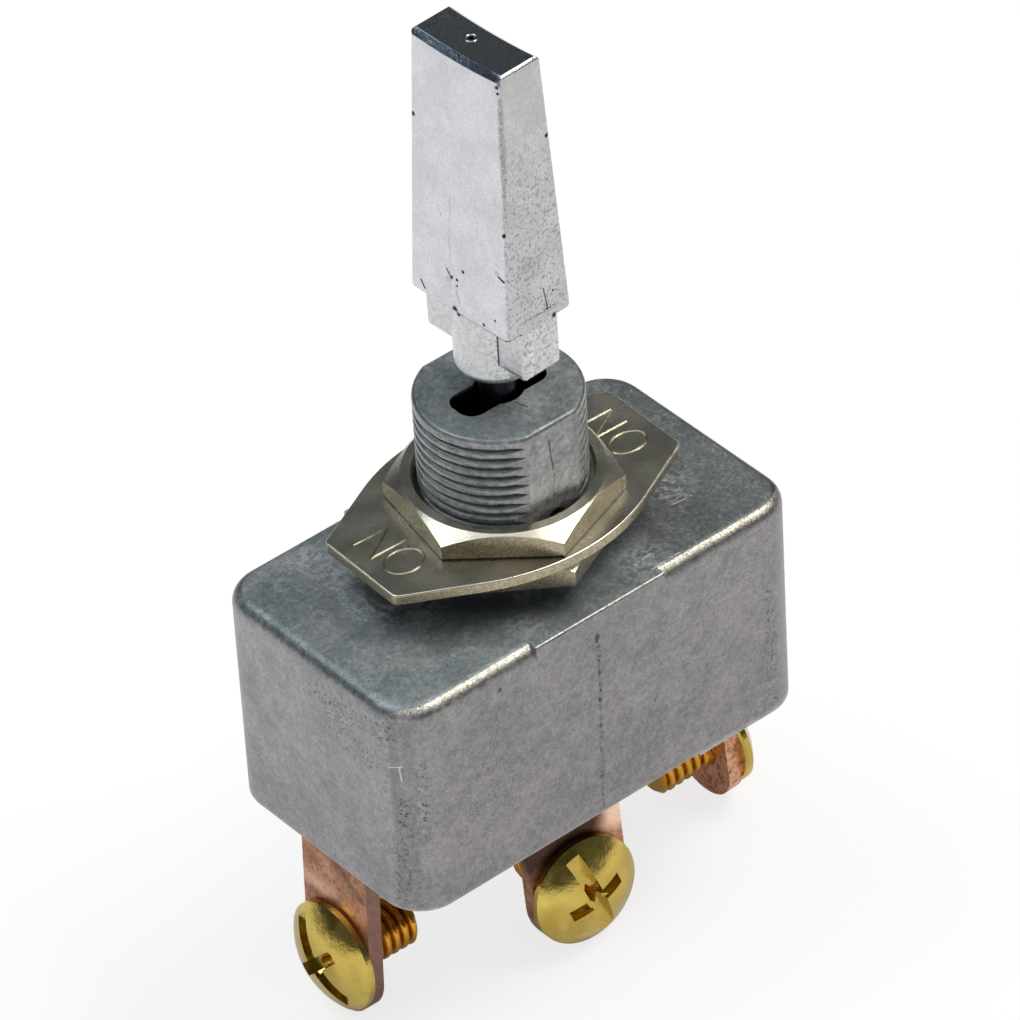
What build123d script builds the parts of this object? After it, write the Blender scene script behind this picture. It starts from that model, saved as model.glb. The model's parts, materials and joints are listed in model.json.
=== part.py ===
from build123d import *
import math
import os

# Panel toggle switch: single pole, on-off-on, three screw terminals. Millimetres.
# The origin is on the bushing axis at the housing's top face. +Z runs along the bushing
# to the lever, X is the housing's long side and the way the lever is thrown.

# Housing and bushing, one zinc casting
housing_length = 36.0
housing_width = 20.4
housing_height = 18.06
housing_corner = 3.2
housing_rim_radius = 1.1
housing_foot_radius = 0.25
side_wall = 1.4
top_wall = 2.0
edge_pad_left = 6.2
edge_pad_right = 5.4
edge_pad_drop = 1.7
edge_pad_depth = 1.3
edge_pad_proud = 0.08
edge_pad_corner = 1.0
edge_pad_break = 0.22
boss_offset_x = 9.0
boss_offset_y = 0.7
boss_radius = 2.46
boss_height = 0.6
bushing_radius = 5.95
bushing_height = 13.3
bushing_flat = 5.55
bushing_edge = 0.35
thread_groove_depth = 0.35
thread_groove_width = 0.55
bushing_bore_radius = 4.0
bushing_crown = 2.1
slot_half_length = 3.7
slot_half_width = 1.45
slot_corner = 1.1
slot_middle_radius = 1.8

# Terminal board, a phenolic plate let into the open underside
board_thickness = 2.0
board_ledge = 0.6
board_clearance = 0.05
board_recess = 0.4
rim_lip_offset = 9.0
rim_lip_length = 3.0
rim_lip_reach = 0.6
rim_foot_start = 7.9
rim_foot_height = 0.25

# Nuts and legend plate on the bushing
nut_across_flats = 14.5
nut_thickness = 2.1
nut_chamfer_drop = 0.93
nut_face_inset = 0.15
nut_clearance = 0.04
nut_countersink = 0.4
front_nut_turn = -41.0
back_nut_turn = -96.0
plate_top = 4.18
plate_thickness = 0.76
plate_half_length = 12.5
plate_half_width = 8.55
plate_side_slope = 27.9
plate_side_radius = 15.0
plate_corner = 0.7
plate_turn = -2.1
plate_shift = -0.1
plate_clearance = 0.1
plate_edge = 0.12

# Lever, one casting from the paddle to the plunger barrel
lever_pivot_height = 5.2
lever_throw = 14.5
paddle_bottom = 21.15
paddle_top = 42.3
paddle_bottom_half_x = 2.97
paddle_bottom_half_y = 4.8
paddle_top_half_x = 1.91
paddle_top_half_y = 4.28
paddle_side_edge = 0.36
paddle_top_bevel = 0.42
paddle_bevel_height = 0.36
paddle_end_bevel = 0.18
paddle_dish_depth = 0.18
paddle_turn = 3.0
paddle_shift_x = -0.08
paddle_shift_y = 0.07
collar_bottom = 17.2
collar_half_x = 1.7
collar_half_y = 4.88
collar_edge = 0.35
stem_radius = 2.9
stem_bottom = 15.5
stem_edge = 0.8
neck_radius = 1.32
barrel_radius = 1.8
barrel_top = 9.2
barrel_shoulder = 0.5
barrel_bottom = -5.0
hub_radius = 1.9
hub_half_length = 3.35
lever_pin_radius = 0.8
lever_pin_end_gap = 0.15

# Plunger and its spring in the lever's barrel
plunger_radius = 1.2
plunger_length = 8.86
plunger_clearance = 0.05
spring_seat_height = 2.0
spring_wire = 0.35
spring_coil_radius = 0.88
spring_turns = 5
spring_end_gap = 0.02

# Rocker, the moving contact, on its cradle
rocker_ratio = 0.5
rocker_pivot_height = -13.1
rocker_thickness = 0.8
rocker_half_width = 2.9
rocker_arm_margin = 1.9
rocker_arm_top = 1.94
rocker_crest = 4.3
rocker_arm_start = 6.6
rocker_ear_thickness = 0.8
rocker_ear_drop = 1.2
tip_clearance = 0.1
rocker_pin_radius = 0.6
rocker_pin_clearance = 0.03
cradle_thickness = 0.8
cradle_half_length = 3.2
cradle_side_gap = 0.2
cradle_ear_rise = 0.95

# Contacts and rivets
contact_end_gap = 6.0
contact_radius = 1.5
contact_height = 1.0
contact_edge = 0.4
rivet_shank_radius = 0.95
rivet_tail_radius = 1.5
rivet_tail_height = 0.4
rivet_clearance = 0.04
moving_shank_radius = 0.7
moving_tail_radius = 1.1
moving_tail_height = 0.3
cradle_rivet_head_radius = 1.6
cradle_rivet_head_height = 0.4

# Terminals: copper strip bent down from under the board, full round end
strip_thickness = 1.2
strip_bend_radius = 0.6
end_tab_width = 7.0
centre_tab_width = 8.0
end_tab_reach = 14.9
centre_tab_reach = 14.5
left_tab_inset = 0.9
right_tab_inset = 1.7
centre_tab_inset = 4.7
foot_margin = 2.5
left_splay = 1.5
right_splay = 5.0
centre_splay = 6.0
right_skew = -2.5
centre_skew = -4.5
strip_end_rest = 0.02

# Terminal screws, number 8 with 32 threads to the inch, binding head
screw_drop = 10.04
screw_radius = 2.08
screw_tip_chamfer = 0.35
screw_reach = 4.6
screw_clearance = 0.04
screw_head_radius = 4.25
screw_rim = 0.6
screw_head_height = 2.2
screw_rim_edge = 0.15
screw_slot_width = 1.2
screw_slot_depth = 1.15
screw_cross_length = 4.5
screw_cross_width = 1.0
left_slot_turn = -45.0
centre_slot_turn = -73.0
right_slot_turn = 20.0

# Fibre liner between the live parts and the casting
liner_thickness = 0.3
liner_clearance = 0.1
liner_hole_clearance = 0.4

# Levels worked out from the sizes above
housing_bottom = -housing_height
board_bottom = housing_bottom + board_recess
board_top = board_bottom + board_thickness
cavity_top = -top_wall
cavity_length = housing_length - 2 * side_wall
cavity_width = housing_width - 2 * side_wall
cavity_corner = housing_corner - side_wall
foot_bottom = board_bottom - strip_thickness
overlap = 1.0
contact_offset = housing_length / 2 - contact_end_gap
rocker_half_length = contact_offset + rocker_arm_margin
left_tab_face = housing_length / 2 - left_tab_inset
right_tab_face = housing_length / 2 - right_tab_inset
centre_tab_face = housing_width / 2 - centre_tab_inset
front_nut_top = plate_top + nut_thickness


def block(length, width, low, high, corner):
    """Upright block with rounded corners between two heights."""
    return extrude(Plane.XY.offset(low) * RectangleRounded(length, width, corner), high - low)


def disc(radius, low, high):
    """Upright cylinder between two heights."""
    return extrude(Plane.XY.offset(low) * Circle(radius), high - low)


def rod_along_y(radius, half_length, height):
    """Cylinder along Y, centred on the bushing axis at a height."""
    return extrude(Plane.XZ * Pos(0, height) * Circle(radius), half_length, both=True)


def turned(points, arc_from=None, arc_to=None, arc_through=None):
    """Solid turned about Z from (radius, height) points, with one arc if it is given."""
    edges = []
    for start, end in zip(points, points[1:] + points[:1]):
        if start == arc_from and end == arc_to:
            edges += [ThreePointArc((*start,), (*arc_through,), (*end,))]
        else:
            edges += [Line(start, end)]
    return revolve(Plane.XZ * make_face(edges), Axis.Z)


def lever_tip_height():
    """Height of the plunger's tip at rest, just above the rocker's trough."""
    return rocker_pivot_height + rocker_arm_top + tip_clearance


def make_edge_pad():
    """Squared stretch of the casting's top edge, where the die's slide met it."""
    length = edge_pad_left + edge_pad_right
    outer = housing_width / 2 + edge_pad_proud
    centre_x = (edge_pad_right - edge_pad_left) / 2
    face = Plane.XZ * Pos(centre_x, -edge_pad_drop / 2) * Rectangle(length, edge_pad_drop)
    low_corners = face.vertices().group_by(Axis.Z)[0]
    pad = extrude(fillet(low_corners, edge_pad_corner), edge_pad_depth)
    pad = Pos(0, edge_pad_depth - outer, 0) * pad
    crest = pad.edges().filter_by(Axis.X).group_by(Axis.Z)[-1].sort_by(Axis.Y)[0]
    return fillet(crest, edge_pad_break)


def make_box_body(bottom):
    """Outer form of the housing's box down to a level, with its rounded rim and foot."""
    body = block(housing_length, housing_width, bottom, 0, housing_corner)
    body = fillet(body.faces().sort_by(Axis.Z)[-1].edges(), housing_rim_radius)
    return fillet(body.faces().sort_by(Axis.Z)[0].edges(), housing_foot_radius)


def make_housing():
    """Zinc casting: box with a rim that stands lower at its +X end, bosses and bushing."""
    foot = make_box_body(housing_bottom - rim_foot_height)
    foot &= Pos(rim_foot_start + housing_length / 2, 0, 0) * Box(
        housing_length, 2 * housing_width, 4 * housing_height
    )
    body = make_box_body(housing_bottom) + foot
    pad = make_edge_pad()
    body += pad
    body += Rot(0, 0, 180) * Pos(edge_pad_left - edge_pad_right, 0, 0) * pad
    boss = disc(boss_radius, -overlap, boss_height)
    body += Pos(-boss_offset_x, boss_offset_y, 0) * boss
    body += Pos(boss_offset_x, -boss_offset_y, 0) * boss
    body += make_bushing()
    body -= block(cavity_length, cavity_width, board_top - overlap, cavity_top, cavity_corner)
    ledge = 2 * board_ledge
    body -= block(
        cavity_length + ledge,
        cavity_width + ledge,
        housing_bottom - overlap,
        board_top,
        cavity_corner + board_ledge,
    )
    body += make_rim_lips()
    crown = bushing_height - bushing_crown
    body -= disc(bushing_bore_radius, cavity_top - overlap, crown)
    slot = RectangleRounded(2 * slot_half_length, 2 * slot_half_width, slot_corner)
    slot += Circle(slot_middle_radius)
    body -= extrude(Plane.XY.offset(crown - overlap) * slot, bushing_crown + 2 * overlap)
    body -= rod_along_y(lever_pin_radius, bushing_radius + overlap, lever_pivot_height)
    return body


def make_bushing():
    """Threaded bushing with its two flats: a plain cylinder and the groove above the front nut."""
    bushing = disc(bushing_radius, -overlap, bushing_height)
    bushing &= Pos(0, 0, bushing_height / 2) * Box(
        2 * bushing_radius, 2 * bushing_flat, bushing_height + 2 * overlap
    )
    bushing = fillet(bushing.faces().sort_by(Axis.Z)[-1].edges(), bushing_edge)
    groove = disc(bushing_radius + overlap, front_nut_top, front_nut_top + thread_groove_width)
    groove -= disc(bushing_radius - thread_groove_depth, 0, bushing_height)
    return bushing - groove


def make_rim_lips():
    """Four staked lips of the rim that hold the board in."""
    inner = cavity_width / 2 + board_ledge
    lip = Box(rim_lip_length, rim_lip_reach + board_ledge, board_recess)
    lips = []
    for side in (-1, 1):
        for end in (-1, 1):
            y = side * (inner + (board_ledge - rim_lip_reach) / 2)
            lips += [Pos(end * rim_lip_offset, y, housing_bottom + board_recess / 2) * lip]
    return lips


def make_board():
    """Board in its rebate, drilled for the three rivets."""
    grow = 2 * (board_ledge - board_clearance)
    board = block(
        cavity_length + grow, cavity_width + grow, board_bottom, board_top, cavity_corner + board_ledge
    )
    hole = disc(rivet_shank_radius + rivet_clearance, board_bottom - overlap, board_top + overlap)
    for x in (-contact_offset, 0, contact_offset):
        board -= Pos(x, 0, 0) * hole
    return board


def make_liner():
    """Open-bottomed box of thin fibre that stands on the board."""
    length = cavity_length - 2 * liner_clearance
    width = cavity_width - 2 * liner_clearance
    top = cavity_top - liner_clearance
    corner = cavity_corner - liner_clearance
    skin = 2 * liner_thickness
    liner = block(length, width, board_top, top, corner)
    liner -= block(
        length - skin, width - skin, board_top, top - liner_thickness, corner - liner_thickness
    )
    return liner - disc(bushing_bore_radius + liner_hole_clearance, top - overlap, top + overlap)


def make_nut(bottom, turn):
    """Thin hexagon nut with its upper corners turned off at a cone."""
    inner = nut_across_flats / 2
    corner = inner / math.cos(math.radians(30))
    hexagon = extrude(Rot(0, 0, turn) * RegularPolygon(corner, 6), nut_thickness)
    cone = turned(
        [
            (0, 0),
            (corner, 0),
            (corner, nut_thickness - nut_chamfer_drop),
            (inner - nut_face_inset, nut_thickness),
            (0, nut_thickness),
        ]
    )
    bore = bushing_radius + nut_clearance
    mouth = bore + nut_countersink
    nut = (hexagon & cone) - disc(bore, -overlap, nut_thickness + overlap)
    nut -= turned([(0, nut_thickness - mouth), (mouth, nut_thickness), (0, nut_thickness)])
    return Pos(0, 0, bottom) * nut


def make_legend_plate():
    """Lozenge plate whose hole has flats that key it to the bushing."""
    slope = math.radians(plate_side_slope)
    peak = plate_half_width + plate_side_radius * (1 / math.cos(slope) - 1)
    end_half_width = peak - plate_half_length * math.tan(slope)
    right = [(plate_half_length, -end_half_width), (plate_half_length, end_half_width)]
    left = [(-x, -y) for x, y in right]
    outline = make_face(Polyline(*right, (0, peak), *left, (0, -peak), close=True))
    peaks = outline.vertices().filter_by_position(Axis.X, -overlap, overlap)
    outline = fillet(peaks, plate_side_radius)
    ends = [v for v in outline.vertices() if abs(abs(v.X) - plate_half_length) < plate_corner / 2]
    outline = fillet(ends, plate_corner)
    plate = extrude(outline, plate_thickness)
    plate = fillet(plate.faces().sort_by(Axis.Z)[-1].edges(), plate_edge)
    hole = disc(bushing_radius + plate_clearance, -overlap, plate_thickness + overlap)
    hole &= Box(4 * bushing_radius, 2 * (bushing_flat + plate_clearance), 4 * overlap)
    plate = Rot(0, 0, plate_turn) * (Pos(plate_shift, 0, 0) * plate - hole)
    return Pos(0, 0, plate_top - plate_thickness) * plate


def paddle_section(height, inset=0):
    """Cross-section of the tapered paddle at a height, its two ends drawn in by an inset."""
    share = (height - paddle_bottom) / (paddle_top - paddle_bottom)
    half_x = paddle_bottom_half_x + share * (paddle_top_half_x - paddle_bottom_half_x)
    half_y = paddle_bottom_half_y + share * (paddle_top_half_y - paddle_bottom_half_y) - inset
    outline = RectangleRounded(2 * half_x, 2 * half_y, paddle_side_edge)
    return (Plane.XY.offset(height) * outline).face()


def make_paddle_dish():
    """Shallow saddle to cut from the paddle's top, with the bevels of its two long edges."""
    half = paddle_top_half_y - paddle_end_bevel
    radius = (half**2 + paddle_dish_depth**2) / (2 * paddle_dish_depth)
    inner = paddle_top_half_x - paddle_top_bevel
    outer = paddle_top_half_x + overlap
    rim = radius + (outer - inner) * paddle_bevel_height / paddle_top_bevel
    right = [(inner, radius), (outer, rim), (outer, 0)]
    left = [(-x, y) for x, y in reversed(right)]
    dish = revolve(make_face(Polyline(*right, *left, close=True)), Axis.X)
    return Pos(0, 0, paddle_top - paddle_dish_depth + radius) * dish


def make_paddle():
    """Tapered paddle with bevelled top edges and a slightly dished top."""
    shoulder = paddle_section(paddle_top - paddle_end_bevel)
    crest = paddle_section(paddle_top, paddle_end_bevel)
    paddle = loft([paddle_section(paddle_bottom), shoulder], ruled=True)
    paddle += loft([shoulder, crest], ruled=True)
    paddle = fillet(paddle.faces().sort_by(Axis.Z)[0].edges(), paddle_side_edge)
    return paddle - make_paddle_dish()


def make_lever():
    """Lever casting: paddle and collar a little turned and off centre over the stem and barrel."""
    collar_top = paddle_bottom + overlap
    collar = block(2 * collar_half_x, 2 * collar_half_y, collar_bottom, collar_top, collar_edge)
    lever = make_paddle() + fillet(collar.faces().sort_by(Axis.Z)[0].edges(), collar_edge)
    lever = Pos(paddle_shift_x, paddle_shift_y, 0) * Rot(0, 0, paddle_turn) * lever
    stem = disc(stem_radius, stem_bottom, paddle_bottom + overlap)
    lever += fillet(stem.faces().sort_by(Axis.Z)[0].edges(), stem_edge)
    lever += turned(
        [
            (0, barrel_bottom),
            (barrel_radius, barrel_bottom),
            (barrel_radius, barrel_top),
            (neck_radius, barrel_top + barrel_shoulder),
            (neck_radius, stem_bottom + overlap),
            (0, stem_bottom + overlap),
        ]
    )
    lever += rod_along_y(hub_radius, hub_half_length, lever_pivot_height)
    hole = lever_pin_radius + plunger_clearance
    lever -= rod_along_y(hole, hub_half_length + overlap, lever_pivot_height)
    return lever - disc(plunger_radius + plunger_clearance, barrel_bottom - overlap, spring_seat_height)


def make_lever_pin():
    """Pin through the bushing's flats, just short of their faces."""
    return rod_along_y(lever_pin_radius, bushing_flat - lever_pin_end_gap, lever_pivot_height)


def make_plunger():
    """Plunger with a round tip that rides in the rocker's trough."""
    tip = lever_tip_height()
    centre = tip + plunger_radius
    side = plunger_radius * math.sqrt(0.5)
    end = tip + plunger_length
    return turned(
        [(0, tip), (plunger_radius, centre), (plunger_radius, end), (0, end)],
        (0, tip),
        (plunger_radius, centre),
        (side, centre - side),
    )


def make_spring():
    """Coil spring from the plunger's top to the end of the barrel's bore."""
    margin = spring_wire / 2 + spring_end_gap
    low = lever_tip_height() + plunger_length + margin
    height = spring_seat_height - margin - low
    coil = Helix(pitch=height / spring_turns, height=height, radius=spring_coil_radius)
    wire = sweep(Plane(coil @ 0, z_dir=coil % 0) * Circle(spring_wire / 2), path=coil, is_frenet=True)
    return Pos(0, 0, low) * wire


def trough_radius():
    """Radius of the path that the plunger's tip centre draws in the rocker."""
    arm = lever_pivot_height - lever_tip_height() - plunger_radius
    lean = math.radians(lever_throw)
    tilt = lean * rocker_ratio
    across = arm * math.sin(lean)
    above = lever_pivot_height - arm * math.cos(lean) - rocker_pivot_height
    side = across * math.cos(tilt) - above * math.sin(tilt)
    rise = above * math.cos(tilt) + across * math.sin(tilt)
    rise -= lever_pivot_height - arm - rocker_pivot_height
    return (side**2 + rise**2) / (2 * rise)


def make_rocker():
    """Formed copper strip: trough in the middle, two flat arms, two ears on the pin."""
    radius = trough_radius() + plunger_radius + tip_clearance
    crest = rocker_arm_top + radius - math.sqrt(radius**2 - rocker_crest**2)
    depth = rocker_arm_top + rocker_ear_drop + rocker_thickness
    trough = ThreePointArc((-rocker_crest, crest), (0, rocker_arm_top), (rocker_crest, crest))
    rest = Polyline(
        (rocker_crest, crest),
        (rocker_arm_start, rocker_arm_top),
        (rocker_half_length, rocker_arm_top),
        (rocker_half_length, -depth),
        (-rocker_half_length, -depth),
        (-rocker_half_length, rocker_arm_top),
        (-rocker_arm_start, rocker_arm_top),
        (-rocker_crest, crest),
    )
    under = extrude(Plane.XZ * make_face([trough, *rest.edges()]), rocker_half_width, both=True)
    rocker = under - Pos(0, 0, -rocker_thickness) * under
    ear = Circle(rocker_ear_drop)
    tall = rocker_arm_top - rocker_thickness / 2
    ear += Pos(0, tall / 2) * Rectangle(2 * rocker_ear_drop, tall)
    inner = rocker_half_width - rocker_ear_thickness
    ears = extrude(Plane.XZ * ear, rocker_half_width, both=True)
    ears -= Box(4 * rocker_ear_drop, 2 * inner, 4 * depth)
    rocker += ears
    pin_hole = rocker_pin_radius + rocker_pin_clearance
    rocker -= rod_along_y(pin_hole, rocker_half_width + overlap, 0)
    shank = disc(moving_shank_radius + rivet_clearance, 0, rocker_arm_top + overlap)
    for x in (-contact_offset, contact_offset):
        rocker -= Pos(x, 0, 0) * shank
    return Pos(0, 0, rocker_pivot_height) * rocker


def make_rocker_contact(side):
    """Contact button under one arm, riveted over on top."""
    top = rocker_arm_top
    under = top - rocker_thickness
    contact = disc(contact_radius, under - contact_height, under)
    contact = fillet(contact.faces().sort_by(Axis.Z)[0].edges(), contact_edge)
    contact += disc(moving_shank_radius, under - contact_height / 2, top)
    contact += disc(moving_tail_radius, top, top + moving_tail_height)
    return Pos(side * contact_offset, 0, rocker_pivot_height) * contact


def make_cradle():
    """U-shaped bracket on the board, whose ears carry the rocker's pin."""
    inner = rocker_half_width + cradle_side_gap
    outer = inner + cradle_thickness
    base = Pos(0, 0, board_top + cradle_thickness / 2) * Box(
        2 * cradle_half_length, 2 * outer, cradle_thickness
    )
    tall = rocker_pivot_height - board_top
    side = Circle(cradle_ear_rise + rocker_pin_radius)
    half = cradle_ear_rise + rocker_pin_radius
    side += Pos(0, -tall / 2) * Rectangle(2 * half, tall)
    ears = extrude(Plane.XZ * side, outer, both=True)
    ears -= Box(4 * half, 2 * inner, 4 * tall)
    cradle = base + Pos(0, 0, rocker_pivot_height) * ears
    cradle -= rod_along_y(rocker_pin_radius, outer + overlap, rocker_pivot_height)
    return cradle - disc(rivet_shank_radius + rivet_clearance, board_top - overlap, rocker_pivot_height)


def make_rocker_pin():
    length = rocker_half_width + cradle_side_gap + cradle_thickness
    return rod_along_y(rocker_pin_radius, length, rocker_pivot_height)


def make_rivet(head_radius, head_bottom, head_height, edge):
    """Rivet through the board and a terminal's foot, closed below the foot."""
    rivet = disc(head_radius, head_bottom, head_bottom + head_height)
    rivet = fillet(rivet.faces().sort_by(Axis.Z)[-1].edges(), edge)
    rivet += disc(rivet_shank_radius, foot_bottom, head_bottom)
    tail = disc(rivet_tail_radius, foot_bottom - rivet_tail_height, foot_bottom)
    return rivet + fillet(tail.faces().sort_by(Axis.Z)[0].edges(), rivet_tail_height / 2)


def make_fixed_contact(side):
    """Fixed contact: a rivet whose head is the contact face."""
    return Pos(side * contact_offset, 0, 0) * make_rivet(
        contact_radius, board_top, contact_height, contact_edge / 2
    )


def tab_point(face, splay, along):
    """Point on a tab's outer face, a distance down from the board, facing +X."""
    lean = math.radians(splay)
    return (face + along * math.sin(lean), board_bottom - along * math.cos(lean))


def make_terminal(face, rivet_at, width, reach, splay):
    """Strip bent down at its outer end, with a full round end and a screw hole."""
    foot_inner = rivet_at - foot_margin
    lean = math.radians(splay)
    inward = (-strip_thickness * math.cos(lean), -strip_thickness * math.sin(lean))
    outer_end = tab_point(face, splay, reach)
    inner_end = (outer_end[0] + inward[0], outer_end[1] + inward[1])
    run = (foot_bottom - inner_end[1]) / math.cos(lean)
    corner = (inner_end[0] - run * math.sin(lean), foot_bottom)
    bend = (face, board_bottom)
    foot_top = (foot_inner, board_bottom)
    foot_under = (foot_inner, foot_bottom)
    outline = Polyline(foot_top, bend, outer_end, inner_end, corner, foot_under, close=True)
    profile = make_face(outline)
    outer_bend = profile.vertices().sort_by_distance((*bend, 0))[0]
    profile = fillet(outer_bend, strip_bend_radius + strip_thickness)
    inner_bend = profile.vertices().sort_by_distance((*corner, 0))[0]
    profile = fillet(inner_bend, strip_bend_radius)
    strip = extrude(Plane.XZ * profile, width / 2, both=True)
    lowest = strip.faces().sort_by_distance((outer_end[0], 0, outer_end[1]))[0]
    end_edges = [e for e in lowest.edges() if e.length < 2 * strip_thickness]
    strip = fillet(end_edges, width / 2 - strip_end_rest)
    strip -= Pos(rivet_at, 0, 0) * disc(
        rivet_shank_radius + rivet_clearance, foot_bottom - overlap, board_bottom + overlap
    )
    bore = extrude(screw_plane(face, splay) * Circle(screw_radius + screw_clearance), -2 * strip_thickness)
    return strip - bore


def screw_plane(face, splay):
    """Plane of the screw head's seat on a tab that faces +X, its Y axis up the tab."""
    lean = math.radians(splay)
    x, z = tab_point(face, splay, screw_drop)
    return Plane(origin=(x, 0, z), x_dir=(0, 1, 0), z_dir=(math.cos(lean), 0, math.sin(lean)))


def make_screw(face, splay, slot_turn):
    """Binding head screw with a slot and a shorter cross recess."""
    rise = screw_head_height - screw_rim
    dome_radius = (screw_head_radius**2 + rise**2) / (2 * rise)
    middle = screw_head_radius / 2
    middle_height = screw_head_height - dome_radius + math.sqrt(dome_radius**2 - middle**2)
    tip = -(strip_thickness + screw_reach)
    screw = turned(
        [
            (0, tip),
            (screw_radius - screw_tip_chamfer, tip),
            (screw_radius, tip + screw_tip_chamfer),
            (screw_radius, 0),
            (screw_head_radius - screw_rim_edge, 0),
            (screw_head_radius, screw_rim_edge),
            (screw_head_radius, screw_rim),
            (0, screw_head_height),
        ],
        (screw_head_radius, screw_rim),
        (0, screw_head_height),
        (middle, middle_height),
    )
    lift = screw_head_height + overlap - screw_slot_depth
    slot = Box(2 * screw_head_radius + overlap, screw_slot_width, 2 * overlap)
    slot += Box(screw_cross_width, screw_cross_length, 2 * overlap)
    screw -= Rot(0, 0, slot_turn) * Pos(0, 0, lift) * slot
    return screw_plane(face, splay) * screw


def terminal_set(name, face, rivet_at, width, reach, splay, slot_turn, facing, skew):
    """One terminal and its screw, made facing +X, turned to their side and skewed on the rivet."""
    turn = Rot(0, 0, facing) * Pos(rivet_at, 0, 0) * Rot(0, 0, skew) * Pos(-rivet_at, 0, 0)
    return {
        "terminal_" + name: turn * make_terminal(face, rivet_at, width, reach, splay),
        "terminal_screw_" + name: turn * make_screw(face, splay, slot_turn),
    }


nodes = {
    "housing": make_housing(),
    "terminal_board": make_board(),
    "insulating_liner": make_liner(),
    "back_nut": make_nut(plate_top - plate_thickness - nut_thickness, back_nut_turn),
    "legend_plate": make_legend_plate(),
    "front_nut": make_nut(plate_top, front_nut_turn),
    "lever": make_lever(),
    "lever_pivot_pin": make_lever_pin(),
    "plunger": make_plunger(),
    "plunger_spring": make_spring(),
    "rocker": make_rocker(),
    "rocker_contact_left": make_rocker_contact(-1),
    "rocker_contact_right": make_rocker_contact(1),
    "rocker_cradle": make_cradle(),
    "rocker_pivot_pin": make_rocker_pin(),
    "cradle_rivet": make_rivet(
        cradle_rivet_head_radius,
        board_top + cradle_thickness,
        cradle_rivet_head_height,
        cradle_rivet_head_height / 2,
    ),
    "fixed_contact_left": make_fixed_contact(-1),
    "fixed_contact_right": make_fixed_contact(1),
}
ends = (contact_offset, end_tab_width, end_tab_reach)
nodes |= terminal_set("left", left_tab_face, *ends, left_splay, left_slot_turn, 180, 0)
nodes |= terminal_set("right", right_tab_face, *ends, right_splay, right_slot_turn, 0, right_skew)
centre = (0, centre_tab_width, centre_tab_reach)
nodes |= terminal_set("centre", centre_tab_face, *centre, centre_splay, centre_slot_turn, -90, centre_skew)

os.makedirs("parts", exist_ok=True)
for name, shape in nodes.items():
    export_step(shape, f"parts/{name}.step")
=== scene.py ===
import json
import math

import bmesh
import bpy
from mathutils import Matrix, Vector, noise


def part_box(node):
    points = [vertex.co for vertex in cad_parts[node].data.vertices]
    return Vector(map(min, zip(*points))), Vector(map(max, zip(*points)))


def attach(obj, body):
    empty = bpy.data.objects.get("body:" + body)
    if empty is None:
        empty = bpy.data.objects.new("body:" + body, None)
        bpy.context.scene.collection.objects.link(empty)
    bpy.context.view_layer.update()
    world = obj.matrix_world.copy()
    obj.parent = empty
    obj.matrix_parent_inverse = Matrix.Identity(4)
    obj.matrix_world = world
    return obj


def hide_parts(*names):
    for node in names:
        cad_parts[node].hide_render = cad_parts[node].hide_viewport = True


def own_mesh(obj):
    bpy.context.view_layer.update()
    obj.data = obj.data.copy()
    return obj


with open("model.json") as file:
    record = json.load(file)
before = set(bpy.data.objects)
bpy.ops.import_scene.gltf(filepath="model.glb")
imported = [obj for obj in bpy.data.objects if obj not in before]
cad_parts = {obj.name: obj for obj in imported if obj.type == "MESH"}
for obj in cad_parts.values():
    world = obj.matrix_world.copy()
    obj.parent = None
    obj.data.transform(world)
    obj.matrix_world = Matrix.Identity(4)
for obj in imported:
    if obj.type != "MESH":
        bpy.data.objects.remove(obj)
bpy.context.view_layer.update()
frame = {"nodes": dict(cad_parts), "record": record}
MM = 0.001
sides = ("left", "centre", "right")

# Sizes read from the frame, in metres
mounts = {mount["name"]: mount for mount in frame["record"]["mounts"]}
bushing_radius = mounts["bushing"]["dims"]["r_mm"] * MM
nut_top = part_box("front_nut")[1].z
plate_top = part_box("legend_plate")[1].z
lever_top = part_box("lever")[1].z
pad_proud = 0.08 * MM
side_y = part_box("housing")[0].y + pad_proud

# Bushing thread, as on a 15/32 inch bushing with 32 threads to the inch
flat_half = 5.55 * MM
thread_pitch = 0.794 * MM
thread_depth = 0.36 * MM
thread_fade = (math.radians(21), math.radians(31))
thread_ragged = 0.03 * MM
first_groove = 12.5 * MM
cad_groove_width = 0.55 * MM
filler_bore = 4.8 * MM
filler_overlap = 0.03 * MM

# Terminal screw thread, number 8 with 32 threads to the inch
screw_radius = 2.08 * MM
screw_depth = 0.42 * MM
screw_ragged = 0.015 * MM
screw_tip_distance = 5.8 * MM
screw_neck_distance = 1.35 * MM
recess_tip = 0.25 * MM
recess_mouth = 1.8 * MM
recess_arm = 2.0 * MM
recess_web = 1.15 * MM
recess_turn = {"left": math.radians(-45), "centre": math.radians(-73), "right": math.radians(20)}

# Letters pressed into the legend plate, which is turned a little on the bushing
plate_turn = math.radians(-2.1)
letter_width = 0.18 * MM
letter_depth = 0.08 * MM

# Flash along the casting's parting line
flash_width = 0.2 * MM
flash_proud = 0.06 * MM

# Ejector pin's ring and rounded crests on the lever's dished top
ring_place = (0.1 * MM, 0.66 * MM)
ring_radius = 0.4 * MM
ring_wire = 0.055 * MM
crest_band = 0.6 * MM
crest_rounding = 0.16 * MM
crest_angle = math.radians(24)
flat_angle = math.radians(0.5)
dish_depth = 0.18 * MM


def link(mesh, name):
    """New object for a mesh, in the scene."""
    piece = bpy.data.objects.new(name, mesh)
    bpy.context.scene.collection.objects.link(piece)
    return piece


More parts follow.
